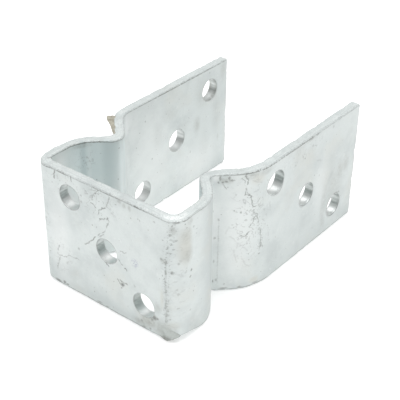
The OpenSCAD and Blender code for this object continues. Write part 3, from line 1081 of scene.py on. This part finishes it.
def drip_ash():
    """Zinc that is pale above and crusted with ash towards its underside."""
    finish = dross("drip_ash", (0.56, 0.60, 0.575, 1.0), (0.43, 0.46, 0.44, 1.0), 450.0, 0.5)
    tree = finish.node_tree
    shader = tree.nodes["Principled BSDF"]
    place = add(tree, "ShaderNodeTexCoord").outputs["Object"]
    height = add(tree, "ShaderNodeSeparateXYZ", {0: place}).outputs["Z"]
    low = fading(tree, height, 0.9 * MM, 2.1 * MM)
    crust = rising(tree, noise_of(tree, place, 1500.0, 3.0, 0.65, 31.0), 0.3, 0.58)
    crusted = tinted(tree, shader.inputs["Base Color"].links[0].from_socket,
                     (0.27, 0.28, 0.26, 1.0), times(tree, low, crust))
    tree.links.new(crusted, shader.inputs["Base Color"])
    return finish


drip = bpy.data.objects.new("zinc_drip", drip_mesh())
bpy.context.collection.objects.link(drip)
drip.data.materials.append(drip_ash())
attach(drip, "root")

# Dross pimples: specks of zinc and iron from the bath that stuck to the coat as it froze.
# They lie scattered over all the faces, and most are smaller than a grain of sand.
def scattered_pimples():
    """Geometry nodes that scatter low domes over a surface."""
    tree = bpy.data.node_groups.new("scattered_pimples", "GeometryNodeTree")
    sockets(tree, ("Surface", "NodeSocketGeometry", None),
            ("Pimples per square metre", "NodeSocketFloat", 6000.0),
            ("Smallest", "NodeSocketFloat", 0.1 * MM),
            ("Largest", "NodeSocketFloat", 0.3 * MM),
            ("Seed", "NodeSocketInt", 7),
            ("Finish", "NodeSocketMaterial", None))
    tree.interface.new_socket(name="Pimples", in_out="OUTPUT", socket_type="NodeSocketGeometry")
    given = tree.nodes.new("NodeGroupInput").outputs
    spread = add(tree, "GeometryNodeDistributePointsOnFaces",
                 {"Mesh": given["Surface"], "Density": given["Pimples per square metre"],
                  "Seed": given["Seed"]})
    dome = add(tree, "GeometryNodeMeshIcoSphere", {"Radius": 1.0, "Subdivisions": 2})
    size = add(tree, "FunctionNodeRandomValue",
               {"Min": given["Smallest"], "Max": given["Largest"], "Seed": given["Seed"]},
               data_type="FLOAT")
    low = scaled(tree, (1.0, 1.0, 0.38), size.outputs[1])
    sunk = add(tree, "GeometryNodeSetPosition",
               {"Geometry": spread.outputs["Points"],
                "Offset": scaled(tree, spread.outputs["Normal"], -0.04 * MM)})
    placed = add(tree, "GeometryNodeInstanceOnPoints",
                 {"Points": sunk.outputs[0], "Instance": dome.outputs["Mesh"],
                  "Rotation": spread.outputs["Rotation"], "Scale": low})
    real = add(tree, "GeometryNodeRealizeInstances", {"Geometry": placed.outputs[0]})
    smooth = add(tree, "GeometryNodeSetShadeSmooth", {"Geometry": real.outputs[0]})
    done = add(tree, "GeometryNodeSetMaterial",
               {"Geometry": smooth.outputs[0], "Material": given["Finish"]})
    result = tree.nodes.new("NodeGroupOutput")
    tree.links.new(done.outputs[0], result.inputs[0])
    return tree


pimple_finish = dross("pimple_grey", (0.62, 0.65, 0.64, 1.0), (0.42, 0.44, 0.42, 1.0), 300.0, 0.45)
pimples = made_by_nodes("zinc_pimples", strip.data.copy(), scattered_pimples(),
                        {"Pimples per square metre": 6000.0, "Smallest": 0.1 * MM,
                         "Largest": 0.28 * MM, "Seed": 7, "Finish": pimple_finish})
pimple_margin = 0.005 * MM
for vert in pimples.data.vertices:
    vert.co = kept_in_box(vert.co, pimple_margin)
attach(pimples, "root")

# Floor: a plain pale sheet that the hanger stands on, matt and wide enough to fill the view.
# A faint glow of its own keeps it white up to the edges of the part.
floor_half = 1.5
floor_glow = 0.36
floor_mesh = bpy.data.meshes.new("floor")
floor_mesh.from_pydata([(-floor_half, -floor_half, 0), (floor_half, -floor_half, 0),
                        (floor_half, floor_half, 0), (-floor_half, floor_half, 0)], [],
                       [(0, 1, 2, 3)])
floor = bpy.data.objects.new("floor", floor_mesh)
bpy.context.collection.objects.link(floor)
floor_paint = bpy.data.materials.new("floor_white")
floor_paint.use_nodes = True
floor_shader = floor_paint.node_tree.nodes["Principled BSDF"]
floor_shader.inputs["Base Color"].default_value = (0.85, 0.85, 0.85, 1.0)
floor_shader.inputs["Roughness"].default_value = 0.9
floor_shader.inputs["Emission Color"].default_value = (1.0, 1.0, 1.0, 1.0)
floor_shader.inputs["Emission Strength"].default_value = floor_glow
floor_mesh.materials.append(floor_paint)

# Light: a white room that lights the part from all round, and one large soft lamp over it,
# which shows up the edges.
room_strength = 0.52
world = bpy.data.worlds.new("white_room")
world.use_nodes = True
room_light = world.node_tree.nodes["Background"]
room_light.inputs["Color"].default_value = (1.0, 1.0, 1.0, 1.0)
room_light.inputs["Strength"].default_value = room_strength
bpy.context.scene.world = world


def soft_lamp(name, place, aim, size, power):
    """A large square lamp that points at a place."""
    data = bpy.data.lights.new(name, "AREA")
    data.size = size
    data.energy = power
    lamp = bpy.data.objects.new(name, data)
    lamp.location = place
    lamp.rotation_euler = (Vector(aim) - Vector(place)).to_track_quat("-Z", "Y").to_euler()
    bpy.context.collection.objects.link(lamp)
    return lamp


hanger_middle = (0.0, 0.04, 0.02)
lamp_place = (0.0, 0.05, 0.9)
lamp_size, lamp_power = 0.7, 5.8
soft_lamp("lamp_above", lamp_place, hanger_middle, lamp_size, lamp_power)

# Camera: it looks down on the front corner of the loop, over the web and the right leg. Its
# place, turn and lens come from a fit to the upright edges and the holes in the photo.
photo_side = 400
focal_pixels = 1002.1
frame_shift = (-0.5, -0.8)
camera_place = Vector((158.33, -159.44, 180.82)) * MM
view_right = Vector((0.7873, 0.6166, 0.0))
view_ahead = Vector((-0.5188, 0.6624, -0.5404)).normalized()
view_up = view_right.cross(view_ahead).normalized()
view_right = view_ahead.cross(view_up).normalized()
view_roll = math.radians(0.8357)
tilted_right = view_right * math.cos(view_roll) + view_up * math.sin(view_roll)
tilted_up = view_up * math.cos(view_roll) - view_right * math.sin(view_roll)
camera_data = bpy.data.cameras.new("camera")
camera_data.sensor_width = 36.0
camera_data.lens = camera_data.sensor_width * focal_pixels / photo_side
camera_data.shift_x = frame_shift[0] / photo_side
camera_data.shift_y = frame_shift[1] / photo_side
camera_data.clip_start = 0.01
camera_data.clip_end = 20.0
camera = bpy.data.objects.new("camera", camera_data)
turned = Matrix((tilted_right, tilted_up, -view_ahead)).transposed().to_4x4()
camera.matrix_world = Matrix.Translation(camera_place) @ turned
bpy.context.collection.objects.link(camera)
bpy.context.scene.camera = camera
bpy.context.scene.view_settings.view_transform = "Standard"
